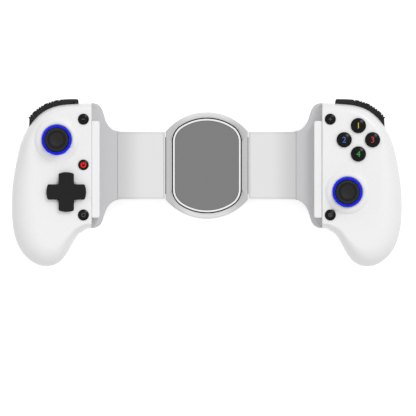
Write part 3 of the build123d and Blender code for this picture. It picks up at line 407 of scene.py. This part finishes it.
middleFrontCover()
padRing()
for node, pieceName, material, slotName in (
    ("middle_back_cover", "middleBackCover", "mouldedAbsWhite", "white_shell"),
    ("phone_pad", "phonePad", "mouldedSiliconeGrey", "pad_grey"),
    ("middle_screws", "middleScrews", "blackenedSteel", "screw_steel"),
):
    dress(node, pieceName, material, "middle")
print("middle housing")

# Inner pieces keep their solids
for side in sideSign:
    paint(f"{side}_circuit_board", "solderMask")
    paint(f"{side}_button_membrane", "mouldedRubberBlack")
    paint(f"{side}_stick_housing", "glassNylonGrey")
    paint(f"{side}_stick_yoke", "glassNylonGrey")
    paint(f"{side}_lever_pins", "turnedSteel")
    paint(f"{side}_trigger_spring", "turnedSteel")
    paint(f"{side}_slide_rail", "glassNylonGrey")
    paint(f"{side}_rack", "glassNylonGrey")
    paint(f"{side}_return_springs", "turnedSteel")
    dress(
        f"{side}_stick_stem", f"{side}StickStem", "mouldedRubberBlack", f"{side}_stick_stem",
    )
paint("pinion", "glassNylonGrey")
paint("pinion_pin", "turnedSteel")
paint("direction_pad_pivot", "turnedSteel")
paint("charging_port", "turnedSteel")
paint("battery", "crimpedAluminium")
print("inner pieces")

# Thumb caps: moulded rubber with a dished top, a raised ring and fine ridges on the rim
cap = {
    "steps": 120, "ridgeDepth": 0.18 * mm, "ridgeReach": 0.02 * mm, "neck": 3.2 * mm,
    "underside": 0.9 * mm, "rimRound": 0.75 * mm, "rimSteps": 5, "darkFrom": 7.25 * mm,
    "ringInner": 5.75 * mm, "grooveWidth": 0.8 * mm, "grooveDepth": 0.85 * mm,
    # points of the groove and the start of the dish, as shares of the groove's width and depth
    "groove": ((0.5, 0), (0, 0.5), (-1 / 3, 1), (-1, 0.9), (-1.4, 0.5)), "dishStart": (-1.6, 0.45),
    "dishDepth": 1.2 * mm, "dishPoints": 8, "bodyHeight": 3.5 * mm, "sharp": 30,
}


def capProfile(low, high):
    # from the middle of the neck's underside round the rim to the middle of the dish
    radius = (high.x - low.x) / 2
    rimLow = high.z - cap["bodyHeight"]
    edge, turn = cap["underside"], cap["rimRound"]
    profile = [
        (0, low.z), (cap["neck"], low.z), (cap["neck"], rimLow - edge),
        (cap["neck"] + edge, rimLow), (radius - edge, rimLow), (radius, rimLow + edge),
    ]
    for step in range(cap["rimSteps"] + 1):
        angle = math.pi / 2 * step / cap["rimSteps"]
        profile.append(
            (radius - turn + turn * math.cos(angle), high.z - turn + turn * math.sin(angle))
        )
    inner, wide, deep = cap["ringInner"], cap["grooveWidth"], cap["grooveDepth"]
    profile += [(inner + wide * across, high.z - deep * down) for across, down in cap["groove"]]
    across, down = cap["dishStart"]
    rest, start = inner + wide * across, deep * down
    for step in range(1, cap["dishPoints"] + 1):
        share = step / cap["dishPoints"]
        fall = start + (cap["dishDepth"] - start) * math.sin(share * math.pi / 2)
        profile.append((rest * (1 - share), high.z - fall))
    return profile, radius


def thumbCap(side):
    node = f"{side}_stick_cap"
    low, high = corners(node)
    profile, radius = capProfile(low, high)
    shape = bmesh.new()
    spinProfile(shape, profile, cap["steps"])
    finishSolid(shape)
    for vert in shape.verts:
        spread = vert.co.xy.length
        turn = math.atan2(vert.co.y, vert.co.x) / (2 * math.pi) * cap["steps"]
        if spread > radius - cap["ridgeReach"] and round(turn) % 2:
            vert.co.xy *= (radius - cap["ridgeDepth"]) / spread
    # painted shade: the rim's faces beyond darkFrom, the cap's shaded side, are painted near-black
    for face in shape.faces:
        if face.calc_center_median().xy.length > cap["darkFrom"]:
            face.material_index = 1
    middle = (low + high) / 2
    bmesh.ops.translate(shape, verts=shape.verts, vec=(middle.x, middle.y, 0))
    piece = newPiece(
        f"{side}ThumbCap", shape, ["mouldedRubberBlack", "paintedShadeBlack"], node,
        (node,),
    )
    smoothEdges(piece, cap["sharp"])


for side in sideSign:
    thumbCap(side)
print("sticks")

# Domed tops of the buttons: radius and fall from the middle to the rim
dome = {
    "face": (4.85 * mm, 1.3 * mm), "small": (3.55 * mm, 0.9 * mm), "grid": 0.7 * mm,
    "gridSteps": 7, "gridShift": 0.31, "sharp": 50,
}


def buttonTop(node):
    # middle of a button's top and how its dome falls away from there
    low, high = corners(node)
    radius, fall = dome["face" if node.startswith("face") else "small"]
    middle = Vector(((low.x + high.x) / 2, (low.y + high.y) / 2, high.z))
    return middle, lambda place: fall * ((place.xy - middle.xy).length / radius) ** 2


def gridCuts(shape, middle):
    # slices a shape both ways, so that it can bend
    for axis in (Vector((1, 0, 0)), Vector((0, 1, 0))):
        for step in range(-dome["gridSteps"], dome["gridSteps"]):
            sliceShape(shape, middle + axis * (step + dome["gridShift"]) * dome["grid"], axis)


def bendMark(shape, node):
    # lays a flat mark on the dome of its button
    middle, fallAt = buttonTop(node)
    gridCuts(shape, middle)
    for vert in shape.verts:
        vert.co.z -= fallAt(vert.co)


def domedButton(node, pieceName):
    shape = copyOf(node)
    middle, fallAt = buttonTop(node)
    gridCuts(shape, middle)
    for vert in shape.verts:
        vert.co.z = min(vert.co.z, middle.z - fallAt(vert.co))
    piece = newPiece(pieceName, shape, ["polishedAbsBlack"], node, (node,))
    smoothEdges(piece, dome["sharp"])


# Marks printed on the buttons: plain figures, bars, rings and a dot
mark = {
    "figureHeight": 5.6 * mm, "curveSteps": 6, "proud": 0.03 * mm, "sunk": 0.1 * mm,
    "steps": 40, "barLong": 2.3 * mm, "barWide": 0.42 * mm, "ringRadius": 1.15 * mm,
    # the red mark, given a painted glow: an open ring with a bar in its gap
    "glowRadius": 1.5 * mm, "glowWide": 0.75 * mm, "glowArc": math.radians(290),
    "glowBar": 1.7 * mm, "glowBarShift": 0.95 * mm,
}
figures = {
    "top": ("1", "inkYellow"), "inner": ("2", "inkBlue"), "outer": ("3", "inkRed"),
    "bottom": ("4", "inkGreen"),
}


def figurePiece(name, text, node, material):
    # the figure as a thin plate in the domed top of its button
    low, high = corners(node)
    line = bpy.data.curves.new(name, "FONT")
    line.body = text
    line.size = mark["figureHeight"]
    line.extrude = (mark["proud"] + mark["sunk"]) / 2
    line.resolution_u = mark["curveSteps"]
    holder = bpy.data.objects.new(name, line)
    bpy.context.scene.collection.objects.link(holder)
    mesh = bpy.data.meshes.new_from_object(holder)
    shape = bmesh.new()
    shape.from_mesh(mesh)
    bpy.data.objects.remove(holder)
    bpy.data.curves.remove(line)
    bpy.data.meshes.remove(mesh)
    bmesh.ops.remove_doubles(shape, verts=shape.verts, dist=meshing["cut"])
    xs = [v.co.x for v in shape.verts]
    ys = [v.co.y for v in shape.verts]
    middle = (low + high) / 2
    shift = Vector((
        middle.x - (min(xs) + max(xs)) / 2, middle.y - (min(ys) + max(ys)) / 2,
        high.z + (mark["proud"] - mark["sunk"]) / 2,
    ))
    bmesh.ops.translate(shape, verts=shape.verts, vec=shift)
    bendMark(shape, node)
    newPiece(name, shape, [material], node)


def addBar(shape, node, long, wide, angle=0, offset=(0, 0)):
    low, high = corners(node)
    middle = (low + high) / 2
    thick = mark["proud"] + mark["sunk"]
    made = bmesh.ops.create_cube(shape, size=1)["verts"]
    bmesh.ops.scale(shape, verts=made, vec=(long, wide, thick))
    bmesh.ops.rotate(shape, verts=made, matrix=Matrix.Rotation(angle, 3, "Z"))
    top = high.z + mark["proud"] - thick / 2
    bmesh.ops.translate(
        shape, verts=made, vec=(middle.x + offset[0], middle.y + offset[1], top)
    )


def addRing(shape, node, radius, wide, arc=2 * math.pi):
    # flat ring on a button's top; a shorter arc leaves the ring open at its upper side
    low, high = corners(node)
    middle = (low + high) / 2
    top = high.z + mark["proud"]
    bottom = high.z - mark["sunk"]
    start = math.pi / 2 + (2 * math.pi - arc) / 2
    section = []
    for r, z in (
        (radius - wide / 2, bottom), (radius + wide / 2, bottom),
        (radius + wide / 2, top), (radius - wide / 2, top),
    ):
        place = (middle.x + r * math.cos(start), middle.y + r * math.sin(start), z)
        section.append(shape.verts.new(place))
    end = shape.faces.new(section)
    whole = arc == 2 * math.pi
    geometry = section + list(end.edges) + ([] if whole else [end])
    if whole:
        shape.faces.remove(end)
    bmesh.ops.spin(
        shape, geom=geometry, cent=(middle.x, middle.y, 0), axis=(0, 0, 1), angle=arc,
        steps=mark["steps"], use_merge=whole, use_duplicate=False,
    )


def buttonMarks():
    for place, (text, material) in figures.items():
        node = f"face_button_{place}"
        figurePiece(f"faceButton{place.title()}Figure", text, node, material)
    long, wide, radius = mark["barLong"], mark["barWide"], mark["ringRadius"]
    plans = {
        ("left", "upper"): lambda shape, node: addBar(shape, node, long, wide),
        ("right", "upper"): lambda shape, node: [
            addBar(shape, node, long, wide), addBar(shape, node, long, wide, math.pi / 2)
        ],
        ("left", "lower"): lambda shape, node: addRing(shape, node, radius, wide),
        ("right", "lower"): lambda shape, node: [
            addRing(shape, node, radius, wide), addBar(shape, node, 2 * wide, 2 * wide)
        ],
        ("left", "middle"): lambda shape, node: [
            addRing(shape, node, mark["glowRadius"], mark["glowWide"], mark["glowArc"]),
            addBar(shape, node, mark["glowWide"], mark["glowBar"], 0, (0, mark["glowBarShift"])),
        ],
    }
    for (side, place), draw in plans.items():
        node = f"{side}_{place}_button"
        shape = bmesh.new()
        draw(shape, node)
        finishSolid(shape)
        bendMark(shape, node)
        # the middle button's red mark glows as painted light; the other marks are grey ink
        material = "paintedGlowRed" if place == "middle" else "inkGrey"
        newPiece(f"{side}{place.title()}ButtonMark", shape, [material], node)


# Buttons
smallPlaces = {"left": ("upper", "middle", "lower"), "right": ("upper", "lower")}
for side, places in smallPlaces.items():
    for place in places:
        node = f"{side}_{place}_button"
        domedButton(node, f"{side}{place.title()}Button")
for place in figures:
    domedButton(f"face_button_{place}", f"faceButton{place.title()}")
buttonMarks()
print("buttons")

# Direction pad: faces that lean further than this are its walls
cross = {"wallNormal": 0.75, "sharp": 24}


def directionPad():
    # one satin moulding, its round edges and dip already in the solid; its walls are painted
    # near-black as painted shade
    shape = copyOf("direction_pad")
    for face in shape.faces:
        if face.normal.z < cross["wallNormal"]:
            face.material_index = 1
    piece = newPiece(
        "directionPad", shape, ["satinAbsBlack", "paintedShadeBlack"], "direction_pad",
        ("direction_pad",),
    )
    smoothEdges(piece, cross["sharp"])


directionPad()
print("direction pad")

# Bumpers and triggers: grooved across on their outer part, smooth at the inner end
ribs = {
    "centre": (95 * mm, 12 * mm), "pitch": 1.9 * mm, "search": 0.05, "onCut": 0.01,
    "front": 0.5 * mm, "frontReach": 3 * mm, "thick": 0.1 * mm, "sharp": 30,
    # angles in degrees from the first rib to the last, and the depth of the grooves
    "bumper": (38.5, 89.0, 0.95 * mm), "trigger": (38.5, 68.0, 0.6 * mm),
    # one rib: how far along the pitch, and the share of the groove's depth there
    "form": ((0.0, 1.0), (0.2, 0.75), (0.36, 0.0), (0.84, 0.0)), "dark": 0.3,
}
# how far a surface faces outwards or to the front, as parts of its normal
facing = {
    "notInner": -0.2, "outer": 0.2, "top": 0.8, "front": 0.3, "ledge": 0.15, "wall": 0.5,
    "edge": (-0.1, 0.25), "edgeAngle": math.radians(40),
}
bumperEnds = {
    "round": 1.1 * mm, "steps": 4, "leanFrom": 41.2 * mm, "lean": 0.25, "rim": (0.1, 0.85),
    "endReach": 0.05 * mm, "flat": math.radians(1),
}
triggerWall = {
    "setBack": 0.6 * mm, "fadeBelow": 6 * mm, "rows": 4, "near": 0.1 * mm, "ribsBelow": 1 * mm,
}


def gripCentre(side, height=0):
    centreX, centreY = ribs["centre"]
    return Vector((sideSign[side] * centreX, centreY, height))


def aim(side, angle):
    turn = math.radians(angle)
    return Vector((sideSign[side] * math.cos(turn), math.sin(turn), 0))


def angleRound(side, place):
    # the angle in degrees, seen from the grip's middle, at which a point lies
    spread = place - gripCentre(side)
    return math.degrees(math.atan2(spread.y, sideSign[side] * spread.x))


def grooveAngles(shape, side, height, start, end):
    # angles round the grip's middle where ribs begin, evenly spaced along the outer wall
    tree = BVHTree.FromBMesh(shape)
    centre = gripCentre(side, height)
    angles, last, angle = [], None, start
    while angle < end:
        place = outsideOf(tree, centre, aim(side, angle))
        if place and (last is None or (place - last).length >= ribs["pitch"]):
            angles.append(angle)
            last = place
        angle += ribs["search"]
    return angles


def sink(tree, moves):
    # moves points of the surface inwards, where the moulding is thick enough for it
    for vert, move in moves:
        place = vert.co - move
        near, normal = tree.find_nearest(place)[:2]
        if (near - place).dot(normal) > ribs["thick"]:
            vert.co = place


def cutRibs(shape, side, height, start, end, groove):
    # slices the piece along every rib and sinks the outer surface along the grooves
    angles = grooveAngles(shape, side, height, start, end)
    depths = {}
    for first, second in zip(angles, angles[1:]):
        for along, depth in ribs["form"]:
            depths[first + (second - first) * along] = depth
    for angle in depths:
        across = aim(side, angle)
        sliceShape(shape, gripCentre(side), (-across.y, across.x, 0))
    shape.normal_update()
    tree = BVHTree.FromBMesh(shape)
    front = max(vert.co.z for vert in shape.verts) - ribs["frontReach"]
    moves = []
    for vert in shape.verts:
        angle = angleRound(side, vert.co)
        near = min(depths, key=lambda value: abs(value - angle))
        outward = vert.normal.xy.dot(aim(side, angle).xy)
        inside = vert.normal.z > facing["ledge"] and vert.co.z < front
        if abs(near - angle) >= ribs["onCut"] or not depths[near] or inside:
            continue
        if outward > facing["notInner"] and vert.normal.z < facing["top"]:
            moves.append((vert, vert.normal * depths[near] * groove))
        elif vert.normal.z > facing["front"]:
            moves.append((vert, Vector((0, 0, 1)) * depths[near] * ribs["front"]))
    sink(tree, moves)
    # painted shade: the floor of each groove, which lies in its own shade, is painted near-black
    for face in shape.faces:
        angle = angleRound(side, face.calc_center_median())
        outward = face.normal.xy.dot(aim(side, angle).xy)
        seen = outward > facing["outer"] or face.normal.z > facing["front"]
        for first, second in zip(angles, angles[1:]):
            if first <= angle <= first + (second - first) * ribs["dark"] and seen:
                face.material_index = 1


def outerEdges(shape, side):
    # edges of the bumper's outer wall: along its top and bottom, and up its two ends
    chosen = []
    least, most = facing["edge"]
    for edge in shape.edges:
        if len(edge.link_faces) != 2 or edge.calc_face_angle() < facing["edgeAngle"]:
            continue
        middle = (edge.verts[0].co + edge.verts[1].co) / 2 - gripCentre(side)
        away = Vector((middle.x, middle.y, 0)).normalized()
        turned = [face.normal.dot(away) for face in edge.link_faces]
        if min(turned) > least and max(turned) > most:
            chosen.append(edge)
    return chosen


def bumperPiece(side):
    node = f"{side}_bumper"
    low, high = corners(node)
    shape = copyOf(node)
    bmesh.ops.dissolve_limit(
        shape, angle_limit=bumperEnds["flat"], verts=shape.verts[:], edges=shape.edges[:]
    )
    # its inner end leans
    end = min(abs(low.x), abs(high.x)) + bumperEnds["endReach"]
    for vert in shape.verts:
        if abs(vert.co.x) < end and vert.co.y > bumperEnds["leanFrom"]:
            lean = (vert.co.y - bumperEnds["leanFrom"]) * bumperEnds["lean"]
            vert.co.x += sideSign[side] * lean
    bmesh.ops.bevel(
        shape, geom=outerEdges(shape, side), offset=bumperEnds["round"],
        segments=bumperEnds["steps"], profile=0.5, material=-1, affect="EDGES",
    )
    shape.normal_update()
    # painted shade: the steep rim of the rounded edges is painted near-black
    steep, shallow = bumperEnds["rim"]
    for face in shape.faces:
        if steep < face.normal.z < shallow:
            face.material_index = 1
    cutRibs(shape, side, (low.z + high.z) / 2, *ribs["bumper"])
    piece = newPiece(
        f"{side}Bumper", shape, ["sparkedAbsBlack", "paintedShadeBlack"], node,
        (node,),
    )
    smoothEdges(piece, ribs["sharp"])


def setWallBack(shape, side, top):
    # the upper part of the trigger's wall lies a little behind that of the bumper
    fade, rows = triggerWall["fadeBelow"], triggerWall["rows"]
    for row in range(1, rows + 1):
        sliceShape(shape, Vector((0, 0, top - fade * row / rows)), (0, 0, 1))
    shape.normal_update()
    tree = BVHTree.FromBMesh(shape)
    moves = []
    for vert in shape.verts:
        centre = gripCentre(side, vert.co.z)
        away = (vert.co - centre).normalized()
        place = outsideOf(tree, centre, away)
        outer = vert.normal.dot(away) > facing["wall"]
        if place and (place - vert.co).length < triggerWall["near"] and outer:
            share = max(0, 1 - (top - vert.co.z) / fade)
            moves.append((vert, away * triggerWall["setBack"] * share))
    for vert, move in moves:
        vert.co -= move


def triggerPiece(side):
    node = f"{side}_trigger"
    high = corners(node)[1]
    shape = copyOf(node)
    setWallBack(shape, side, high.z)
    cutRibs(shape, side, high.z - triggerWall["ribsBelow"], *ribs["trigger"])
    piece = newPiece(
        f"{side}Trigger", shape, ["sparkedAbsBlack", "paintedShadeBlack"], node,
        (node,),
    )
    smoothEdges(piece, ribs["sharp"])


for side in sideSign:
    bumperPiece(side)
    triggerPiece(side)
    dress(
        f"{side}_back_key", f"{side}BackKey", "polishedAbsBlack", f"{side}_back_key",
    )
print("bumpers, triggers and back keys")

# Floor, light and camera
studio = {
    "floorSize": 6.0, "floorGap": 0.02 * mm, "paper": "#F4F4F4", "paperCast": "#B8B8B8",
    "paperRough": 0.9, "paperLift": 0.55, "worldLow": 0.35, "worldHigh": 0.81,
    "horizon": (0.0, 0.3), "keyLevel": 0.72, "keyAngle": 20.0, "keyTilt": (34, 30),
    "pixel": 2 / 3 * mm, "imageSize": 416, "centrePixel": (206.85, 165.5), "distance": 8.0,
    "sensor": 36.0, "clipEnd": 40,
}


def seenDirectly(tree):
    # 1 for what the camera sees, also in a mirror or through glass, and 0 for the light cast
    path = addNode(tree, "ShaderNodeLightPath")
    mirrored = addNode(
        tree, "ShaderNodeMath",
        links={0: path.outputs["Is Glossy Ray"], 1: path.outputs["Is Transmission Ray"]},
        operation="MAXIMUM",
    )
    seen = addNode(
        tree, "ShaderNodeMath",
        links={0: path.outputs["Is Camera Ray"], 1: mirrored.outputs[0]}, operation="MAXIMUM",
    )
    return seen.outputs[0]


def floorMaterial():
    # white paper, brighter where it is seen than in the light it casts back, so that only
    # soft shadows show on it
    material, tree = newMaterial("whitePaper")
    paper, bounce = [
        addNode(
            tree, "ShaderNodeBsdfPrincipled",
            {"Base Color": hexColour(studio[tone]), "Roughness": studio["paperRough"]},
        )
        for tone in ("paper", "paperCast")
    ]
    lift = addNode(
        tree, "ShaderNodeEmission", {"Color": (1, 1, 1, 1), "Strength": studio["paperLift"]}
    )
    both = addNode(
        tree, "ShaderNodeAddShader", links={0: paper.outputs[0], 1: lift.outputs[0]}
    )
    mix = addNode(
        tree, "ShaderNodeMixShader",
        links={0: seenDirectly(tree), 1: bounce.outputs[0], 2: both.outputs[0]},
    )
    addNode(tree, "ShaderNodeOutputMaterial", links={"Surface": mix.outputs[0]})
    return material


def addFloor():
    shape = bmesh.new()
    bmesh.ops.create_grid(shape, x_segments=1, y_segments=1, size=studio["floorSize"] / 2)
    under = cadBox[0][2] - studio["floorGap"]
    bmesh.ops.translate(shape, verts=shape.verts, vec=(0, 0, under))
    mesh = bpy.data.meshes.new("floor")
    shape.to_mesh(mesh)
    shape.free()
    floor = bpy.data.objects.new("floor", mesh)
    bpy.context.scene.collection.objects.link(floor)
    mesh.materials.append(floorMaterial())
    return floor


def addKeyLight():
    # even light from above the upper right corner, as soft as from a panel
    data = bpy.data.lights.new("keyPanel", "SUN")
    data.energy = studio["keyLevel"]
    data.angle = math.radians(studio["keyAngle"])
    panel = bpy.data.objects.new("keyPanel", data)
    tiltX, tiltY = studio["keyTilt"]
    panel.rotation_euler = (math.radians(-tiltX), math.radians(tiltY), 0)
    bpy.context.scene.collection.objects.link(panel)
    return panel


def setWorld():
    # a tent of paper, brightest overhead; the camera and reflections see it plain white
    world = bpy.data.worlds.new("studio")
    world.use_nodes = True
    tree = world.node_tree
    tree.nodes.clear()
    place = addNode(tree, "ShaderNodeTexCoord")
    height = addNode(tree, "ShaderNodeSeparateXYZ", links={0: place.outputs["Generated"]})
    tent = addNode(
        tree, "ShaderNodeMapRange",
        {
            "From Min": studio["horizon"][0], "From Max": studio["horizon"][1],
            "To Min": studio["worldLow"], "To Max": studio["worldHigh"],
        },
        {"Value": height.outputs["Z"]},
    )
    level = addNode(
        tree, "ShaderNodeMapRange", {"To Max": 1.0},
        {"Value": seenDirectly(tree), "To Min": tent.outputs[0]},
    )
    back = addNode(
        tree, "ShaderNodeBackground", {"Color": (1, 1, 1, 1)}, {"Strength": level.outputs[0]}
    )
    addNode(tree, "ShaderNodeOutputWorld", links={"Surface": back.outputs[0]})
    bpy.context.scene.world = world


def addCamera():
    # straight down on the front, far away, so that the depth hardly widens anything
    pixel = studio["pixel"]
    half = studio["imageSize"] / 2
    centreX, centreY = studio["centrePixel"]
    data = bpy.data.cameras.new("camera")
    data.sensor_width = studio["sensor"]
    data.lens = studio["sensor"] * studio["distance"] / (studio["imageSize"] * pixel)
    data.clip_end = studio["clipEnd"]
    camera = bpy.data.objects.new("camera", data)
    camera.location = ((half - centreX) * pixel, (centreY - half) * pixel, studio["distance"])
    bpy.context.scene.collection.objects.link(camera)
    bpy.context.scene.camera = camera


addFloor()
addKeyLight()
setWorld()
addCamera()
bpy.context.scene.view_settings.view_transform = "Standard"
print("studio")
